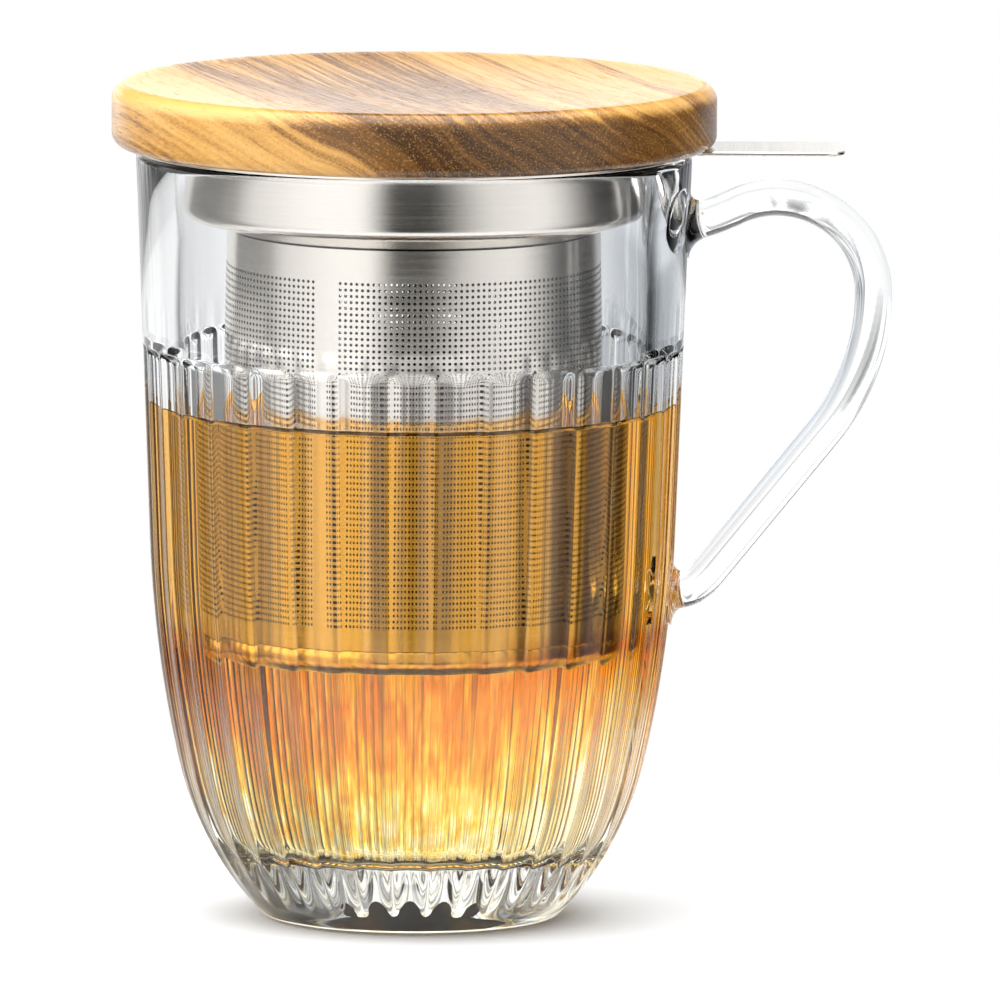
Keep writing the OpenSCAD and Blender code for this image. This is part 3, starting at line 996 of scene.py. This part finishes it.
def lay_floor():
    """A square just below the foot."""
    floor = bpy.data.objects.new("floor", bpy.data.meshes.new("floor"))
    half, level = floor_half * MM, -floor_gap * MM
    corners = [(sx * half, sy * half, level) for sx, sy in ((-1, -1), (1, -1), (1, 1), (-1, 1))]
    floor.data.from_pydata(corners, [], [(0, 1, 2, 3)])
    floor.data.materials.append(pale_floor())
    bpy.context.scene.collection.objects.link(floor)


def between(value, low, high, soft):
    """1 where a value lies from low to high, eased over soft to both sides of either."""
    return value.ramp(low - soft, low + soft) * value.ramp(high - soft, high + soft, 1, 0)


def front_lights(azimuth, rise):
    """Tall soft boxes left and right, a weaker fill between them and a strip behind the left.

    Each box is brighter towards one of its sides.
    """
    left = azimuth.ramp(-8, -27) * azimuth.ramp(-106, -80) * azimuth.ramp(-95, -42, 0.85, 1.28)
    right = azimuth.ramp(6, 42) * azimuth.ramp(100, 62) * azimuth.ramp(30, 65, 0.9, 1.08)
    fill = between(azimuth, -16, 34, 6) * rise.ramp(-8, -4) * 0.75
    strip = between(azimuth, -132, -98, 4) * rise.ramp(-9, -4, 0.2, 1.2)
    return (left + right) * between(rise, -50, 56, 8) + fill + strip


def back_lights(tree, azimuth, rise):
    """The striped backdrop behind the object, and the dim room above it.

    Below level the backdrop shines from both sides to its middle, and from level to 11 degrees
    up in its middle alone. The room above is dim at both sides and dark in the middle, which
    darkens the foot.
    """
    middle_at = 7
    off_middle = 180 - abs(azimuth - middle_at)
    right_low = azimuth.ramp(134, 150, 0, 0.52) * rise.ramp(-12.5, -15, 1, 1.6)
    right_low = right_low + azimuth.ramp(158, 180, 0, 0.42)
    left_spot = between(azimuth, -172, -148, 4) * rise.ramp(-8, -4) * 0.2
    left_low = azimuth.ramp(-130, -138) * (left_spot + 1)
    sides = (right_low + left_low) * rise.ramp(2, -2)
    middle = off_middle.ramp(46, 38) * off_middle.ramp(38, 5, 0.25, 1.0) * rise.ramp(-2, 2)
    stripes = tree.noise(tree.point(azimuth * 0.3, rise * 0.1, 0), 1.0, 1.0)
    stripes = stripes.ramp(0.3, 0.7, -0.7, 0.7) * rise.ramp(-9, -5)
    stripes = stripes + between(rise, -2.5, 6, 1) * 0.25 + 1
    above = rise.ramp(10.5, 12.5) * rise.ramp(56, 48)
    room = off_middle.ramp(80, 70) * above * off_middle.ramp(18, 34, 0.0, 0.45)
    return (sides + middle) * (1 - above) * stripes + room


def studio_world():
    """White all round for the camera; what the object mirrors and bends is a dark room with lights.

    Azimuth 0 is the camera's side, and it grows to the right. Rise is the angle above level. The
    light from behind at the right is a little cooler.
    """
    world = bpy.data.worlds.new("studio")
    bpy.context.scene.world = world
    world.use_nodes = True
    tree = Tree(world.node_tree)
    x, y, z = tree.parts(tree.node("ShaderNodeTexCoord", output="Generated"))
    azimuth = x.fn("ARCTAN2", -y) * (180 / math.pi)
    rise = z.fn("ARCSINE") * (180 / math.pi)
    dark_room = 0.03
    low_lights = front_lights(azimuth, rise) + back_lights(tree, azimuth, rise) + dark_room
    high_left = between(azimuth, -110, -30, 8) * between(rise, 10, 50, 5) * 2.8
    overhead = rise.ramp(48, 58) * 4.2
    studio = low_lights.fn("MAXIMUM", high_left.fn("MAXIMUM", overhead))
    cool = azimuth.ramp(100, 140) * azimuth.ramp(178, 160) * rise.ramp(20, 0)
    direct = tree.ray("Camera")
    light = tree.node(
        "ShaderNodeBackground",
        {},
        {
            "Color": tree.mix(cool * (1 - direct), (1, 1, 1), (0.93, 0.98, 1.03)),
            "Strength": studio * (1 - direct) + direct,
        },
    )
    tree.finish("ShaderNodeOutputWorld", Surface=light)


def place_camera():
    """A long lens from 3.5 m in front, 7 degrees above level, turned by the photograph's tilt."""
    aim = Vector((13.6, 0, 65)) * MM
    stand = Vector((13.6, -3472, 513)) * MM
    tilt = math.radians(0.3)
    camera = bpy.data.objects.new("camera", bpy.data.cameras.new("camera"))
    camera.data.sensor_width, camera.data.lens = 36, 810
    camera.data.clip_start, camera.data.clip_end = 0.1, 100
    look = (aim - stand).to_track_quat("-Z", "Y").to_matrix().to_4x4()
    camera.matrix_world = Matrix.Translation(stand) @ look @ Matrix.Rotation(tilt, 4, "Z")
    bpy.context.scene.collection.objects.link(camera)
    bpy.context.scene.camera = camera


# ---------------------------------------------------------------- the pieces
def dress(obj, body, slot, finish, *nodes):
    """Gives a piece its finish and body, and hides the CAD solids that it stands for. Its slot is
    not used.
    """
    obj.data.materials.append(finish)
    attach(obj, body)
    if nodes:
        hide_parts(*nodes)


steel = spun_steel("spun_steel")
satin = {"shade": (0.80, 0.755, 0.69), "roughness": 0.17}
sieve_steel = spun_steel("sieve_steel", **satin, inside=tube_r - 0.02)
cap_steel = spun_steel("cap_steel", **satin)

mug = join_glass(fluted_body(), glass_strap())
dress(mug, "mug", "glass", clear_glass(), "mug_body", "mug_handle")
tea = turned("tea", tea_profile(), "poles", 256)
dress(tea, "mug", None, brewed_tea())

collar = turned("infuser_collar_sheet", tidy_loop(collar_profile()), "loop", 288)
dress(collar, "infuser", "steel", steel, "infuser_collar")
dress(tab_plate(), "infuser", "steel", steel, "infuser_tab")
for third in range(panels):
    start = first_strip + third * 2 * math.pi / panels
    dress(
        fine_panel(f"infuser_sieve_panel_{third + 1}", start),
        "infuser",
        "sieve",
        sieve_steel,
        "infuser_sieve",
    )
cap = turned("infuser_base_cap", cap_profile(), "poles", 288)
dress(cap, "infuser", "steel", cap_steel, "infuser_base")

disc = turned("lid_turned_disc", lid_profile(), "poles", 288)
dress(disc, "lid", "wood", oiled_wood(), "lid_disc")
seal = turned("lid_soft_seal", tidy_loop(seal_profile()), "loop", 192)
dress(seal, "lid", "seal", soft_silicone(), "lid_seal")

lay_floor()
studio_world()
place_camera()
bpy.context.scene.view_settings.view_transform = "Standard"
